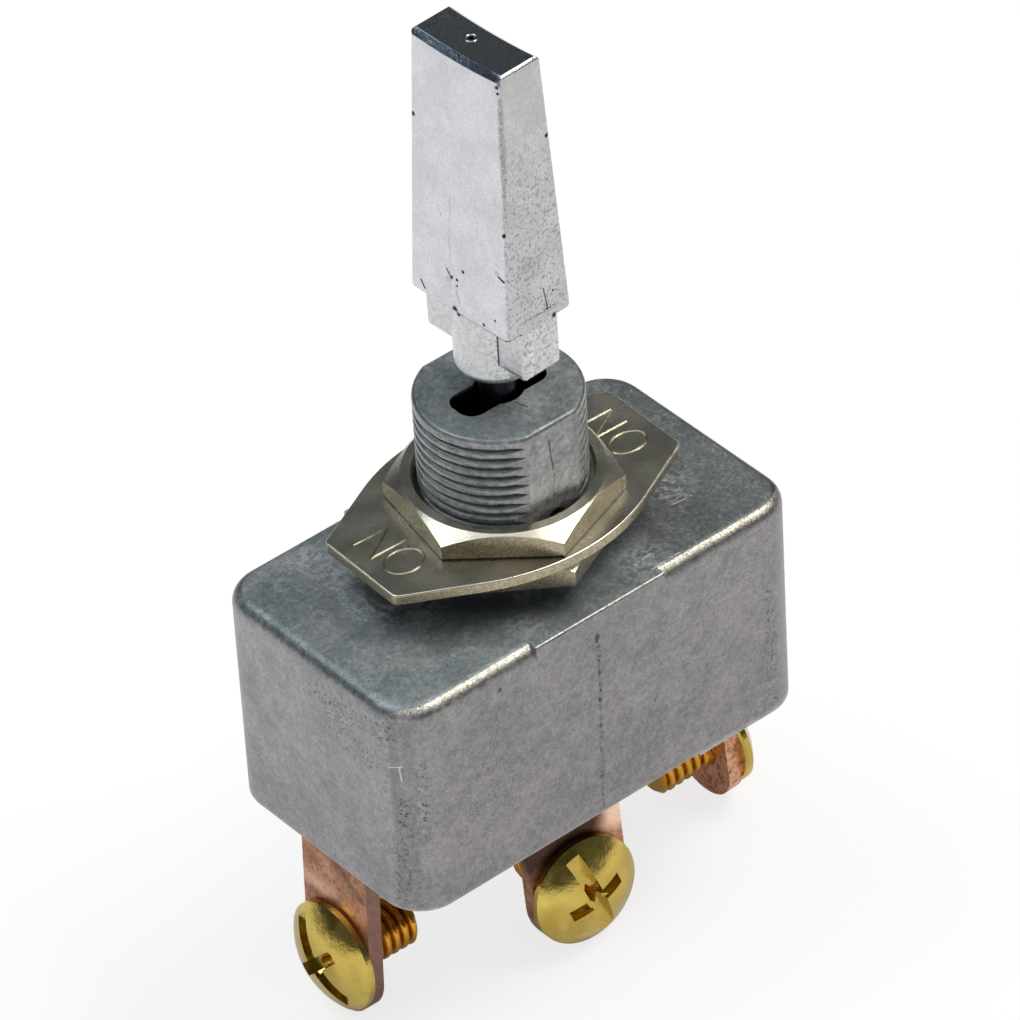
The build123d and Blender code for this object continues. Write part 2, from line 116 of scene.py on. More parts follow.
def copy_of(node, name):
    """Copy of a CAD node's mesh with its doubled vertices joined."""
    mesh = frame["nodes"][node].data.copy()
    if "custom_normal" in mesh.attributes:
        mesh.attributes.remove(mesh.attributes["custom_normal"])
    body = bmesh.new()
    body.from_mesh(mesh)
    bmesh.ops.remove_doubles(body, verts=body.verts, dist=1e-7)
    body.to_mesh(mesh)
    body.free()
    mesh.name = name
    return link(mesh, name)


def settle(piece):
    """Applies a piece's modifiers to its mesh."""
    graph = bpy.context.evaluated_depsgraph_get()
    mesh = bpy.data.meshes.new_from_object(piece.evaluated_get(graph))
    piece.modifiers.clear()
    piece.data = mesh


def shade(piece, angle=32):
    """Smooth shading with sharp edges past an angle, weighted by face area."""
    mesh = piece.data
    mesh.polygons.foreach_set("use_smooth", [True] * len(mesh.polygons))
    mesh.set_sharp_from_angle(angle=math.radians(angle))
    weighted = piece.modifiers.new("normals", "WEIGHTED_NORMAL")
    weighted.keep_sharp = True
    weighted.weight = 80
    settle(piece)


def carve(piece, cutter, operation="DIFFERENCE"):
    """Cuts one closed mesh out of another, or joins it on, and removes it."""
    cut = piece.modifiers.new("cut", "BOOLEAN")
    cut.operation = operation
    cut.solver = "EXACT"
    cut.object = cutter
    settle(piece)
    bpy.data.objects.remove(cutter)


def wobble(x, y, z):
    """Seeded noise from -1 to 1 at a place in millimetres."""
    return noise.noise(Vector((x, y, z)))


def swept(name, sections, closed=False):
    """Closed mesh through a list of sections with the same number of points."""
    mesh = bpy.data.meshes.new(name)
    body = bmesh.new()
    rings = [[body.verts.new(p) for p in section] for section in sections]
    count = len(rings[0])
    pairs = list(zip(rings, rings[1:] + rings[:1])) if closed else list(zip(rings, rings[1:]))
    for a, b in pairs:
        for i in range(count):
            j = (i + 1) % count
            body.faces.new((a[i], a[j], b[j], b[i]))
    if not closed:
        body.faces.new(rings[0])
        body.faces.new(rings[-1])
    bmesh.ops.recalc_face_normals(body, faces=body.faces)
    body.to_mesh(mesh)
    body.free()
    return link(mesh, name)


def outward(turn):
    """Unit vector at an angle round the Z axis."""
    return Vector((math.cos(turn), math.sin(turn), 0))


def turns(count):
    """Angles of equal steps round a circle."""
    return [2 * math.pi * i / count for i in range(count)]


def thread_cutter(crest, depth, start, end, start_turn, ragged, fade=None):
    """Helical ridge that cuts a thread: a narrow root and rounded shoulders.

    A fade is two angles from the Y axis: the groove runs out between them, beside a flat."""
    profile = [(0.0, 0.07), (0.4, 0.13), (0.75, 0.2), (0.93, 0.28), (1.0, 0.38), (2.2, 0.47)]
    steps = 96
    run_out = steps / 4
    clear_of_metal = 1.2 * depth
    ragged_scale = 6
    fade_wander = 0.25
    sections = []
    count = round((end - start) / thread_pitch * steps)
    for i in range(count + 1):
        around = outward(start_turn + 2 * math.pi * i / steps)
        height = start + thread_pitch * i / steps
        offset = ragged * wobble(*[v * ragged_scale for v in (around.x, around.y, height / MM)])
        shallow = max(0, 1 - min(i, count - i) / run_out)
        if fade:
            away = math.acos(min(1, abs(around.y)))
            share = (away - fade[0]) / (fade[1] - fade[0])
            share += fade_wander * wobble(height / MM, around.x, 0)
            shallow = max(shallow, 1 - max(0, min(1, share)))
        offset += clear_of_metal * shallow
        half = [(crest + depth * (share - 1) + offset, width * thread_pitch) for share, width in profile]
        ring = [(r, w) for r, w in half] + [(r, -w) for r, w in reversed(half)]
        sections.append([around * r + Vector((0, 0, height + w)) for r, w in ring])
    return swept("thread_cutter", sections)


def flash_line():
    """Thin wandering ridge down the -Y wall, where the die's halves met."""
    top, knee, low = (-0.75, -2.0), (-0.7, -5.4), (-1.0, -17.7)
    wander, wander_scale = 0.07, 1.1
    least, usual, swing, swing_scale = 0.25, 0.75, 0.8, 1.7
    inner = side_y + flash_proud
    sections = []
    count = 64
    for i in range(count + 1):
        z = top[1] + (low[1] - top[1]) * i / count
        first, last = (top, knee) if z > knee[1] else (knee, low)
        x = first[0] + (last[0] - first[0]) * (z - first[1]) / (last[1] - first[1])
        x = (x + wander * wobble(0, 0, z * wander_scale)) * MM
        proud = flash_proud * max(least, usual + swing * wobble(5, 0, z * swing_scale))
        sections.append([
            Vector((x - flash_width / 2, inner, z * MM)),
            Vector((x, side_y - proud, z * MM)),
            Vector((x + flash_width / 2, inner, z * MM)),
        ])
    return swept("flash", sections)


def groove_filler():
    """Ring that fills the solid's plain groove flush with the bushing, before the thread is cut."""
    low = nut_top - filler_overlap
    high = nut_top + cad_groove_width + filler_overlap
    sections = []
    for turn in turns(192):
        around = outward(turn)
        outer = bushing_radius
        if abs(around.y) * outer > flat_half:
            outer = flat_half / abs(around.y)
        corners = [(filler_bore, low), (filler_bore, high), (outer, high), (outer, low)]
        sections.append([around * out + Vector((0, 0, height)) for out, height in corners])
    return swept("filler", sections, True)


def dress_housing():
    """Housing with the bushing's thread cut and the casting's flash line joined on."""
    piece = copy_of("housing", "housing_cast")
    carve(piece, groove_filler(), "UNION")
    end = first_groove + thread_pitch / 2
    rounds = math.ceil((end - nut_top) / thread_pitch) + 0.5
    start = end - rounds * thread_pitch
    start_turn = math.pi / 2 - 2 * math.pi * rounds
    cutter = thread_cutter(
        bushing_radius, thread_depth, start, end, start_turn, thread_ragged, thread_fade
    )
    carve(piece, cutter)
    carve(piece, flash_line(), "UNION")
    shade(piece)
    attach(piece, "base")
    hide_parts("housing")
    return piece


def round_crests(piece):
    """Rounds the sharp edges round the lever's dished top."""
    body = bmesh.new()
    body.from_mesh(piece.data)
    bmesh.ops.dissolve_limit(body, angle_limit=flat_angle, verts=body.verts, edges=body.edges)
    crest = [
        edge for edge in body.edges
        if min(v.co.z for v in edge.verts) > lever_top - crest_band
        and edge.calc_face_angle(0) > crest_angle
    ]
    bmesh.ops.bevel(
        body, geom=crest, offset=crest_rounding, segments=3, profile=0.5, affect="EDGES", clamp_overlap=True
    )
    body.to_mesh(piece.data)
    body.free()


def ejector_ring():
    """Raised ring that the ejector pin left, as a closed mesh."""
    centre = Vector((*ring_place, lever_top - dish_depth))
    sections = []
    for turn in turns(24):
        around = outward(turn)
        ring = []
        for angle in turns(8):
            out = ring_radius + ring_wire * math.cos(angle)
            ring.append(centre + around * out + Vector((0, 0, ring_wire * math.sin(angle))))
        sections.append(ring)
    return swept("ring", sections, True)


def dress_lever():
    """Lever with its top's crests rounded and the ejector pin's small ring on it."""
    piece = copy_of("lever", "lever_cast")
    round_crests(piece)
    carve(piece, ejector_ring(), "UNION")
    shade(piece, 40)
    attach(piece, "toggle")
    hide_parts("lever")
    return piece


def dress_spring():
    """Coil spring that the plunger is pushed up against inside the lever, carried with the toggle on a mesh
    of its own.
    """
    piece = copy_of("plunger_spring", "coil_spring")
    shade(piece)
    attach(piece, "toggle")
    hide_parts("plunger_spring")
    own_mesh(piece)
    return piece


def screw_frame(side):
    """Matrix whose Z axis runs out along a terminal screw, with its origin on the head's seat."""
    seat = mounts["terminal_" + side]
    turn = Vector(seat["axis"]).to_track_quat("Z", "Y").to_matrix().to_4x4()
    return Matrix.Translation(seat["pos_m"]) @ turn


def screw_recess():
    """Four-pointed star that narrows to a blunt tip, worn uneven by screwdrivers."""
    shares = (0.12, 0.4, 0.7, 1.0)
    wear = 0.35
    sections = []
    for share in shares:
        height = recess_tip + (recess_mouth - recess_tip) * (share - shares[0]) / (1 - shares[0])
        ring = []
        for turn in turns(16):
            arm = max(0, math.cos(4 * turn)) ** 2
            reach = (recess_web + (recess_arm - recess_web) * arm) * share
            reach *= 1 + wear * wobble(2 * math.cos(turn), 2 * math.sin(turn), 5 * share)
            ring.append(Vector((reach * math.cos(turn), reach * math.sin(turn), height)))
        sections.append(ring)
    return swept("recess", sections)


def dress_screw(side):
    """Terminal screw with its thread and its worn recess."""
    piece = copy_of("terminal_screw_" + side, "binding_screw_" + side)
    start, end = -screw_tip_distance - thread_pitch, -screw_neck_distance
    cutter = thread_cutter(screw_radius, screw_depth, start, end, 0, screw_ragged)
    cutter.data.transform(screw_frame(side))
    carve(piece, cutter)
    recess = screw_recess()
    recess.data.transform(screw_frame(side) @ Matrix.Rotation(recess_turn[side], 4, "Z"))
    carve(piece, recess)
    shade(piece)
    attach(piece, "base")
    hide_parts("terminal_screw_" + side)
    return piece


def stroke(path, closed):
    """Shallow V-grooved cutter along a path on the plate's top.

    It stands as far above the plate as it cuts into it, and is twice as wide up there."""
    lift = Vector((0, 0, letter_depth))
    sections = []
    count = len(path)
    for i, point in enumerate(path):
        before = path[(i - 1) % count] if closed or i else point
        after = path[(i + 1) % count] if closed or i < count - 1 else point
        along = (after - before).normalized()
        side = Vector((-along.y, along.x, 0)) * letter_width / 2
        sections.append([point + side * 2 + lift, point - side * 2 + lift, point - lift])
    return swept("letter_cutter", sections, closed)


def dress_plate():
    """Legend plate with ON pressed in at both ends, both the same way up."""
    piece = copy_of("legend_plate", "legend_plate_marked")
    letters = [
        {"foot": -8.2, "head": -11.3, "near": 0.4, "far": 2.3, "ring": (-9.75, -1.35), "size": (1.5, 1.2)},
        {"foot": 11.2, "head": 8.2, "near": 0.45, "far": 2.2, "ring": (9.7, -1.4), "size": (1.5, 1.05)},
    ]
    turn = Matrix.Rotation(plate_turn, 3, "Z")

    def spot(x, y):
        return turn @ Vector((x * MM, y * MM, plate_top))

    for end in letters:
        head, foot, near, far = end["head"], end["foot"], end["near"], end["far"]
        strokes = [
            [spot(foot, far), spot(head, far)],
            [spot(foot, far), spot(head, near)],
            [spot(foot, near), spot(head, near)],
        ]
        for path in strokes:
            carve(piece, stroke(path, False))
        middle, size = end["ring"], end["size"]
        ring = [
            spot(middle[0] + size[0] * math.cos(angle), middle[1] + size[1] * math.sin(angle))
            for angle in turns(32)
        ]
        carve(piece, stroke(ring, True))
    shade(piece, 20)
    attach(piece, "base")
    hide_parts("legend_plate")
    return piece


class Look:
    """A procedural material: a Principled shader and a few short ways to feed it."""

    def __init__(self, name):
        self.material = bpy.data.materials.new(name)
        self.material.use_nodes = True
        self.tree = self.material.node_tree
        self.shader = self.tree.nodes["Principled BSDF"]
        coordinates = self.tree.nodes.new("ShaderNodeTexCoord")
        self.place = self.vector("SCALE", coordinates.outputs["Object"], Scale=1000.0)
        self.height = None

    def add(self, kind, sockets, output=0, **settings):
        """New node with its inputs set or linked; gives one of its outputs."""
        node = self.tree.nodes.new("ShaderNode" + kind)
        for name, value in settings.items():
            setattr(node, name, value)
        for socket, value in sockets.items():
            target = node.inputs[socket]
            if isinstance(value, bpy.types.NodeSocket):
                self.tree.links.new(value, target)
            else:
                target.default_value = value
        return node.outputs[output]

    def vector(self, operation, a, b=None, output=0, **more):
        """Vector arithmetic on one or two inputs."""
        sockets = {0: a} if b is None else {0: a, 1: b}
        sockets.update(more)
        return self.add("VectorMath", sockets, output, operation=operation)

    def math(self, operation, a, b=0.0):
        """Arithmetic on one or two numbers."""
        return self.add("Math", {0: a, 1: b}, operation=operation)

    def times(self, *values):
        """Product of masks and numbers."""
        total = values[0]
        for value in values[1:]:
            total = self.math("MULTIPLY", total, value)
        return total

    def noise(self, scale, detail=4.0, roughness=0.55, distortion=0.0, stretch=None):
        """Noise whose patches are about 1 / scale millimetres."""
        place = self.place if stretch is None else self.vector("MULTIPLY", self.place, stretch)
        sockets = {
            "Vector": place, "Scale": scale, "Detail": detail,
            "Roughness": roughness, "Distortion": distortion,
        }
        return self.add("TexNoise", sockets)

    def band(self, value, low, high, out_low=0.0, out_high=1.0):
        """Smooth step of a value from low to high."""
        sockets = {"Value": value, "From Min": low, "From Max": high, "To Min": out_low, "To Max": out_high}
        return self.add("MapRange", sockets, interpolation_type="SMOOTHSTEP")

    def mix(self, factor, a, b):
        """Colour a where the factor is 0, and b where it is 1."""
        a, b = ((*colour, 1.0) if isinstance(colour, tuple) else colour for colour in (a, b))
        return self.add("Mix", {0: factor, 6: a, 7: b}, 2, data_type="RGBA")

    def dim(self, colour, factor):
        """A colour made darker or lighter."""
        return self.vector("SCALE", colour, Scale=factor)

    def axis(self, index):
        """Place along X, Y or Z in millimetres."""
        return self.add("SeparateXYZ", {0: self.place}, index)

    def facing(self, direction):
        """How far the surface faces a direction, from -1 to 1, in the object's own axes."""
        normal = self.add("TexCoord", {}, 1)
        return self.vector("DOT_PRODUCT", normal, direction, 1)

    def near(self, point, radius, soft=0.5):
        """1 inside a ball round a point, fading to 0."""
        distance = self.vector("DISTANCE", self.place, point, 1)
        return self.band(distance, radius * (1 - soft), radius, 1.0, 0.0)

    def line(self, start, end, width, wander=0.0, soft=0.6):
        """1 along a straight mark between two points, fading to 0."""
        start, end = Vector(start), Vector(end)
        place = self.place
        if wander:
            shift = self.add("TexNoise", {"Vector": self.place, "Scale": 1.3}, 1)
            shift = self.vector("SCALE", self.vector("SUBTRACT", shift, (0.5, 0.5, 0.5)), Scale=wander)
            place = self.vector("ADD", place, shift)
        offset = self.vector("SUBTRACT", place, tuple(start))
        along = self.vector("DOT_PRODUCT", offset, tuple(end - start), 1)
        share = self.add(
            "Math", {0: along, 1: 1 / (end - start).length_squared}, operation="MULTIPLY", use_clamp=True
        )
        closest = self.vector("SCALE", tuple(end - start), Scale=share)
        distance = self.vector("LENGTH", self.vector("SUBTRACT", offset, closest), output=1)
        return self.band(distance, width * (1 - soft), width, 1.0, 0.0)

    def most(self, masks):
        """The largest of several masks at each point."""
        total = masks[0]
        for mask in masks[1:]:
            total = self.math("MAXIMUM", total, mask)
        return total

    def spots(self, rows, soft=0.5):
        """Mask of several balls, each a point and a radius."""
        return self.most([self.near(point, radius, soft) for point, radius in rows])

    def lines(self, rows):
        """Mask of several straight marks, each in the order that line takes."""
        return self.most([self.line(*row) for row in rows])

    def set(self, **sockets):
        """Sets or links the shader's colour, metal or rough socket."""
        names = {"colour": "Base Color", "metal": "Metallic", "rough": "Roughness"}
        for name, value in sockets.items():
            target = self.shader.inputs[names[name]]
            if isinstance(value, bpy.types.NodeSocket):
                self.tree.links.new(value, target)
            else:
                target.default_value = value

    def bump(self, height, distance):
        """Adds relief in millimetres on top of what is there."""
        sockets = {"Height": height, "Distance": distance * MM, "Strength": 1.0}
        if self.height is not None:
            sockets["Normal"] = self.height
        self.height = self.add("Bump", sockets)
        self.tree.links.new(self.height, self.shader.inputs["Normal"])

    def dress(self, *pieces):
        """Gives pieces this material alone."""
        for piece in pieces:
            piece.data.materials.clear()
            piece.data.materials.append(self.material)


# Colours of the zinc casting. The top tones are darker as painted shade; stain, groove and inside paint
# shade, and edge and rim paint highlights
zinc_tones = {
    "side dark": (0.26, 0.264, 0.272), "side light": (0.335, 0.318, 0.325),
    "side pale": (0.38, 0.365, 0.375),
    "shaded top dark": (0.135, 0.16, 0.167), "shaded top light": (0.2, 0.222, 0.228), "shaded top pale": (0.27, 0.29, 0.295),
    "wall dark": (0.2, 0.205, 0.21), "wall light": (0.3, 0.3, 0.302),
    "fleck": (0.38, 0.41, 0.41), "scuff": (0.38, 0.41, 0.415), "scratch and highlight": (0.6, 0.62, 0.62),
    "stain": (0.035, 0.04, 0.048), "pit": (0.05, 0.05, 0.055), "groove": (0.03, 0.031, 0.036),
    "seam": (0.04, 0.04, 0.045), "inside": (0.01, 0.01, 0.012),
    "edge": (0.6, 0.56, 0.48), "rim": (0.46, 0.46, 0.49),
}

# Colours of the lever's casting. The tones of the X and Y faces are lit and shaded copies of one tone; mark
# paints pits and painted shadow lines, top and bevel paint reflection, and neck paints shade
lever_tones = {
    "lit face dark": (0.6, 0.6, 0.635), "lit face light": (0.68, 0.68, 0.715),
    "shaded face dark": (0.455, 0.455, 0.47), "shaded face light": (0.525, 0.53, 0.55),
    "stem dark": (0.5, 0.5, 0.5), "stem light": (0.65, 0.66, 0.69),
    "streak": (0.72, 0.72, 0.74), "speck": (0.26, 0.26, 0.27), "strip": (0.17, 0.17, 0.18),
    "mark": (0.018, 0.018, 0.022), "top": (0.52, 0.54, 0.59), "bevel": (0.11, 0.14, 0.2),
    "pin mark": (0.01, 0.01, 0.01), "neck_shade": (0.03, 0.035, 0.05),
}

# Colours of the plated nuts and plate, the screws and the copper strips, among them painted shadow, painted
# highlights and painted light
nickel_tones = {
    "flat dark": (0.56, 0.54, 0.45), "flat light": (0.68, 0.655, 0.56),
    "cut dark": (0.3, 0.255, 0.165), "cut light": (0.46, 0.42, 0.31),
    "contact shadow": (0.01, 0.01, 0.008), "letter highlight": (0.55, 0.48, 0.3), "speck": (0.25, 0.21, 0.14),
}
brass_tones = {
    "dark": (0.5, 0.37, 0.085), "light": (0.64, 0.48, 0.12),
    "shank": (0.62, 0.30, 0.03), "speck": (0.30, 0.17, 0.025),
}
copper_tones = {
    "dark": (0.36, 0.14, 0.07), "light": (0.6, 0.31, 0.19), "stain": (0.17, 0.07, 0.04),
    "painted_sheen": (0.95, 0.66, 0.5), "painted_shadow": (0.035, 0.016, 0.013),
    "cut edge": (0.2, 0.115, 0.105), "lit right tab": (0.85, 0.45, 0.29),
}

# Marks on the housing, in millimetres. A spot is a point and a radius. A line is its two
# ends and its width, and where they are given, how far it wanders and how soft its edge is
boss_centre = (-9.0, 0.7)
housing_scuffs = [
    ((-10.65, 4.75, 0), 3.8), ((-11.9, 8.1, 0), 2.6), ((-10.9, 1.25, 0), 2.6), ((11.5, -3.2, 0), 3.4),
    ((5.1, -8.1, 0), 3.0), ((-5.0, -7.6, 0), 2.2), ((0, -2.6, 13.3), 2.6), ((4.2, 0.5, 13.3), 2.2),
]
housing_scratches_and_boss_highlight = [
    ((11.0, -1.6, 0), (12.0, -2.7, 0), 0.09, 0.3),
    ((10.6, -5.0, 0), (12.3, -5.2, 0), 0.09, 0.4),
    ((4.4, -8.2, 0), (6.0, -8.0, 0), 0.1, 0.4),
    ((5.0, -9.4, 0), (7.6, -9.3, 0), 0.07, 0.5),
    ((-17.78, -8.15, -5.05), (-17.31, -8.98, -4.78), 0.08),
    ((-17.44, -8.81, -4.9), (-17.37, -8.9, -6.1), 0.07),
    # The last two rows are a painted highlight on the boss's rim, not scratches.
    ((-11.45, 0.95, 0.5), (-11.25, -0.2, 0.5), 0.16, 0.2),
    ((-11.25, -0.2, 0.5), (-10.8, -0.75, 0.5), 0.2, 0.2),
]
pitted_spots = [((-18.0, -3.2, -3.6), 3.4), ((-18.0, -6.0, -5.5), 2.2)]
pitted_lines = [
    ((-18.0, -1.0, -2.8), (-18.0, -8.0, -1.9), 1.7, 0.5, 0.9),
    ((-17.3, -9.0, -8.0), (-17.65, -8.45, -17.0), 0.9, 0.5, 0.9),
    ((-16.24, -9.86, -5.0), (-16.45, -9.74, -11.0), 0.7, 0.5, 0.9),
    ((14.7, -10.1, -6.5), (14.9, -10.1, -17.0), 0.8, 0.6, 0.9),
    ((-0.75, -10.25, -2.2), (-0.7, -10.25, -5.4), 0.28, 0.2),
    ((-0.7, -10.25, -5.4), (-1.0, -10.25, -17.0), 0.28, 0.2),
]
housing_holes = [
    ((-0.76, -10.25, -2.2), 0.28), ((-9.46, -10.2, -1.81), 0.2), ((4.05, -10.2, -10.73), 0.13),
    ((-0.8, -10.25, -7.8), 0.2), ((-0.86, -10.25, -10.1), 0.17), ((0.06, -5.55, 8.87), 0.1),
]

# Marks on the lever, in the same form, and painted shadow lines along its creases
lever_strip = [
    ((-1.75, -4.35, 40.5), (-1.95, -4.55, 34.0), 0.34, 0.2),
    ((-1.95, -4.55, 34.0), (-2.45, -4.8, 29.4), 0.22, 0.2),
]
lever_pits = [
    ((-3.04, 0.26, 21.54), 0.3), ((-3.08, 0.37, 20.99), 0.2), ((-2.95, 0.1, 21.2), 0.3),
    ((-2.89, -2.58, 21.7), 0.15), ((-2.79, -3.67, 22.59), 0.13), ((-2.93, 0.5, 24.06), 0.14),
    ((-2.91, 0.01, 24.06), 0.15), ((-2.93, 0.02, 23.56), 0.12), ((-2.82, -0.59, 25.03), 0.17),
    ((-2.56, -4.7, 26.7), 0.17), ((1.4, -4.65, 21.47), 0.26), ((1.56, -4.6, 23.38), 0.12),
    ((-1.8, -4.03, 41.98), 0.12), ((-1.82, -4.1, 41.55), 0.17), ((-1.84, -4.18, 41.1), 0.15),
    ((-2.54, 4.04, 35.59), 0.22), ((2.02, -4.26, 35.85), 0.2), ((-2.32, -4.6, 29.9), 0.22),
]
lever_marks_and_shade_lines = [
    ((-2.95, 1.0, 24.5), (-2.96, 0.55, 23.9), 0.08),
    ((-3.18, 3.6, 22.3), (-3.19, 3.21, 21.75), 0.09),
    ((-2.6, -4.1, 26.4), (-2.56, -4.62, 26.15), 0.12),
    ((0.7, -4.62, 24.03), (1.11, -4.67, 21.3), 0.05),
    # Painted shadow lines at the foot of the paddle and round the collar's lower edge, not marks in the
    # metal.
    ((-3.21, 4.5, 21.27), (-2.97, 0.1, 21.27), 0.13),
    ((-2.76, -4.1, 21.28), (-2.72, -4.7, 21.26), 0.14),
    ((-2.5, -4.77, 21.24), (-1.9, -4.74, 21.24), 0.17),
    ((-1.63, -2.6, 17.35), (-1.53, -4.8, 17.35), 0.12),
    ((-1.35, -4.9, 17.4), (-1.35, -4.9, 17.9), 0.06),
]
# Painted shadow lines in the crease between the stem and the collar.
lever_soft_shade_lines = [
    ((-1.66, -2.38, 21.0), (-1.66, -2.38, 17.5), 0.07),
    ((-1.65, -2.9, 17.6), (-1.53, -4.7, 17.6), 0.06),
]
lever_faint_spots = [
    ((-2.95, 0.9, 23.7), 0.3), ((-2.6, -3.9, 26.6), 0.3),
    ((-0.6, -4.62, 26.5), 0.6), ((0.9, -4.6, 22.3), 0.5),
]
lever_faint_lines = [
    ((-2.5, 0.6, 32.2), (-3.0, 0.72, 22.9), 0.07, 0.3),
    ((-2.74, 1.85, 29.25), (-2.75, 1.48, 28.63), 0.12, 0.3),
    ((-2.97, 0.2, 23.4), (-3.0, -0.2, 22.3), 0.12, 0.4),
]


def zinc_look():
    """Dull zinc die casting: mottled purplish grey, blue-green and scuffed on top, with pits, painted shade
    and painted highlights.
    """
    look = Look("zinc_casting")
    tone = zinc_tones
    cloud = look.noise(0.17, 5, 0.65, 0.5)
    patch = look.noise(0.6, 5, 0.65, 0.8)
    mottle = look.noise(2.2, 4, 0.75)
    grain = look.noise(7.5, 2, 0.6)
    rise = look.facing((0, 0, 1))
    near_wall = look.facing((0, -1, 0))
    up = look.band(rise, 0.35, 0.8)
    flat_top = look.band(rise, 0.9, 0.985)
    height = look.axis(2)
    out = look.vector("LENGTH", look.vector("MULTIPLY", look.place, (1, 1, 0)), output=1)

    side = look.mix(look.band(cloud, 0.36, 0.64), tone["side dark"], tone["side light"])
    side = look.mix(look.times(look.band(patch, 0.4, 0.7), 0.55), side, tone["side pale"])
    # Painted shade: walls that face -Y are made darker.
    side = look.dim(side, look.band(look.band(near_wall, 0.6, 0.9), 0, 1, 1.0, 0.84))
    # Painted shade: the top takes darker tones than the sides, tinted blue-green.
    top = look.mix(look.band(cloud, 0.38, 0.62), tone["shaded top dark"], tone["shaded top light"])
    top = look.mix(look.times(look.band(patch, 0.45, 0.75), 0.6), top, tone["shaded top pale"])
    colour = look.mix(up, side, top)
    colour = look.dim(colour, look.band(mottle, 0.3, 0.7, 0.76, 1.2))
    colour = look.dim(colour, look.band(grain, 0.3, 0.7, 0.84, 1.13))
    # Painted shade: the top is made darker towards the +X end.
    shaded_right_end = look.times(look.band(look.axis(0), 3.0, 9.0), up)
    colour = look.dim(colour, look.band(shaded_right_end, 0, 1, 1.0, 0.6))
    # Painted shade on the rounded corner that faces -X and -Y.
    shaded_corner = look.band(look.facing((-0.8, -0.6, 0)), 0.93, 1.0)
    colour = look.dim(colour, look.band(shaded_corner, 0, 1, 1.0, 0.76))
    flecks = look.band(look.noise(3.4, 5, 0.9), 0.5, 0.62)
    flecks = look.times(flecks, flat_top, look.band(patch, 0.42, 0.62, 0.15, 0.65))
    colour = look.mix(flecks, colour, tone["fleck"])

    rubbed = look.band(look.noise(1.8, 6, 0.8, 0.5), 0.44, 0.58)
    colour = look.mix(look.times(look.spots(housing_scuffs, 0.8), rubbed, 0.85), colour, tone["scuff"])
    # Pale scratches, and a painted highlight on the boss's rim.
    colour = look.mix(look.times(look.lines(housing_scratches_and_boss_highlight), 0.75), colour, tone["scratch and highlight"])

    # Painted shadow in the stain colour: the boss under the plate's -X end, the top under the plate and
    # nut, and two spots beside the plate's -X end.
    boss_shadow = look.times(look.near((*boss_centre, 0.6), 2.75, 0.15), 0.75)
    painted_shadow = look.line((-7.4, -2.9, 0), (-2.4, -7.0, 0), 3.6, 1.0, 1.0)
    painted_shadow = look.times(painted_shadow, look.band(patch, 0.3, 0.55, 0.5, 1.0))
    plate_end_shadow = look.times(look.spots([((-11.3, -1.4, 0), 2.2), ((-10.6, 3.2, 0), 1.8)], 1.0), 0.6)
    colour = look.mix(look.most([boss_shadow, painted_shadow, plate_end_shadow]), colour, tone["stain"])

    zone = look.most([
        look.spots(pitted_spots, 0.9), look.lines(pitted_lines),
        look.times(look.near((-10.2, -10.2, -10.0), 5.0, 1.0), 0.5),
    ])
    pits = look.times(look.band(look.noise(3.6, 4, 0.7), 0.56, 0.66), zone)
    holes = look.most([pits, look.spots(housing_holes)])
    colour = look.mix(look.times(holes, 0.75), colour, tone["pit"])

    # The bushing's threaded wall, by distance from the axis and by height, with painted shade in the
    # thread's roots
    wall = look.times(look.band(out, 6.2, 6.05), look.band(height, 6.0, 6.2), look.band(rise, 0.6, 0.2))
    worn = look.mix(look.band(patch, 0.35, 0.65), tone["wall dark"], tone["wall light"])
    worn = look.dim(worn, look.band(mottle, 0.3, 0.7, 0.7, 1.25))
    colour = look.mix(wall, colour, worn)
    round_wall = look.band(look.math("ABSOLUTE", look.axis(1)), 5.53, 5.48)
    # Painted shade in the roots of the thread.
    groove = look.times(wall, round_wall, look.band(out, 5.86, 5.66), look.band(out, 5.0, 5.3))
    colour = look.mix(look.times(groove, 0.85), colour, tone["groove"])
    seam = look.most([
        look.line((-0.28, -5.55, 12.1), (-0.08, -5.55, 9.4), 0.11, 0.3),
        look.times(look.line((0.0, -5.55, 9.0), (-0.18, -5.55, 6.4), 0.08, 0.3), 0.6),
        look.line((-0.2, -2.0, 13.3), (0.08, -3.02, 13.3), 0.08),
    ])
    colour = look.mix(look.times(seam, 0.8), colour, tone["seam"])
    # Painted shade: near black inside the bushing's bore.
    below_top = look.band(height, 13.15, 12.95)
    inside = look.times(look.band(out, 4.4, 4.1), below_top, look.band(height, -19, -18))
    colour = look.mix(look.times(inside, 0.97), colour, tone["inside"])

    # Painted highlight along the top's rounded edge on the -Y side, and a painted highlight along the lower
    # rim
    crown = look.times(look.band(rise, 0.5, 0.75), look.band(rise, 0.985, 0.92), look.band(out, 7.0, 8.0))
    edge_highlight = look.times(crown, look.band(near_wall, 0.3, 0.42), look.band(grain, 0.3, 0.6))
    colour = look.mix(look.times(edge_highlight, 0.7), colour, tone["edge"])
    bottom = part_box("housing")[0].z / MM
    # Painted highlight: a paler band along the housing's lower edge.
    rim = look.times(look.band(height, bottom + 0.75, bottom + 0.2), look.band(patch, 0.35, 0.6, 0.3, 0.9))
    colour = look.mix(look.times(rim, look.band(out, 9.0, 10.0)), colour, tone["rim"])

    look.set(colour=colour, metal=look.band(flat_top, 0, 1, 0.85, 0.3))
    rough = look.band(mottle, 0.3, 0.75, 0.36, 0.54)
    look.set(rough=look.math("SUBTRACT", rough, look.times(wall, 0.1)))
    look.bump(look.noise(1.1, 4, 0.6), 0.035)
    look.bump(mottle, 0.02)
    look.bump(grain, 0.01)
    look.bump(look.times(holes, -1.0), 0.08)
    cast_ring = look.times(look.near((*boss_centre, 0), 4.6, 0.3), look.noise(1.2, 4, 0.7, 1.5))
    look.bump(cast_ring, 0.3)
    return look


